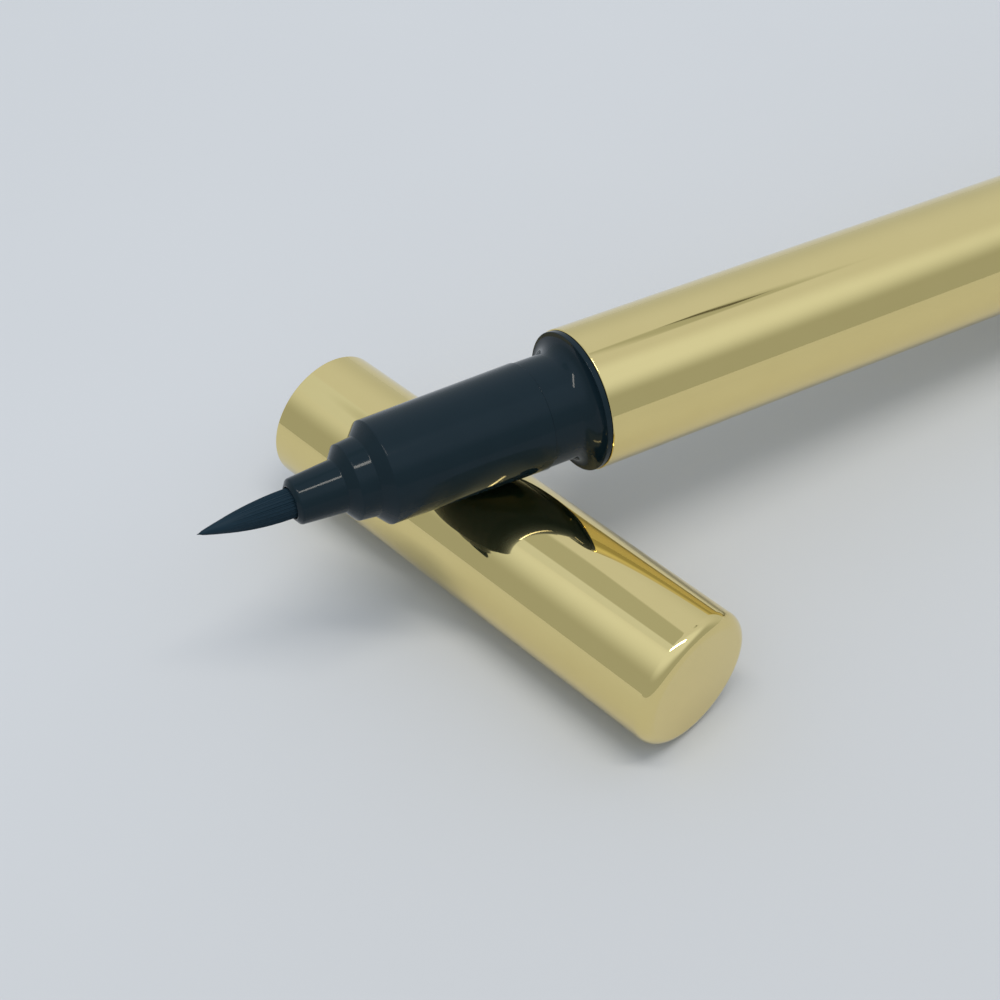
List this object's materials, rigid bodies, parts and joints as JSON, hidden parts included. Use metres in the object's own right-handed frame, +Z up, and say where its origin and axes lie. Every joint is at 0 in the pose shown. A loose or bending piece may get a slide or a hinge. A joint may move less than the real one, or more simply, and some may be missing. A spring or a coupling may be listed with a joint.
{
  "type": "liquid eyeliner pen",
  "caption": "Slim liquid eyeliner pen with a stepped black front, a fine brush point and a gold barrel, leaning across its own gold cap, which is taken off.",
  "frame": {"origin": "middle of the footprint's box, on the table that the cap and the barrel's tail lie on", "axes": "+X is the longest extent, towards the pen's tail; -Y is the way the cap's closed end faces; +Z is up"},
  "size_m": [0.1193, 0.048, 0.019],
  "materials": {
    "gold_finish": "polished pale gold, mirror-like",
    "black_gloss": "glossy black",
    "natural_plastic": "uncoloured, slightly milky",
    "steel": "bright",
    "feed_fibre": "bonded fibre, soaked black",
    "brush_fibre": "fine black fibres, wet with liner"
  },
  "bodies": {
    "cap": {"cap_shell": "gold_finish", "cap_liner": "natural_plastic", "seal_spring": "steel"},
    "inner_cap": {"seal_cup": "natural_plastic"},
    "pen": {"barrel_sleeve": "gold_finish", "tail_plug": "gold_finish", "ink_tank": "natural_plastic", "collar": "black_gloss", "nozzle": "black_gloss", "collector": "natural_plastic", "feed_core": "feed_fibre", "brush_holder": "natural_plastic", "brush_tip": "brush_fibre"},
    "ball": {"mixing_ball": "steel"}
  },
  "joints": [
    {"name": "pen_lift", "type": "slide", "parent": "cap", "child": "pen", "axis": [0, 0, 1], "range_m": [0, 0.03]},
    {"name": "seal_cup_slide", "type": "slide", "parent": "cap", "child": "inner_cap", "axis": [0, -1, 0], "range_m": [0, 0.0055], "stiffness_N_per_m": 250, "springref_m": -0.002, "deforming": ["seal_spring"]},
    {"name": "ball_roll", "type": "slide", "parent": "pen", "child": "ball", "axis": [-0.963, 0.2534, 0.0918], "range_m": [0, 0.078]}
  ]
}
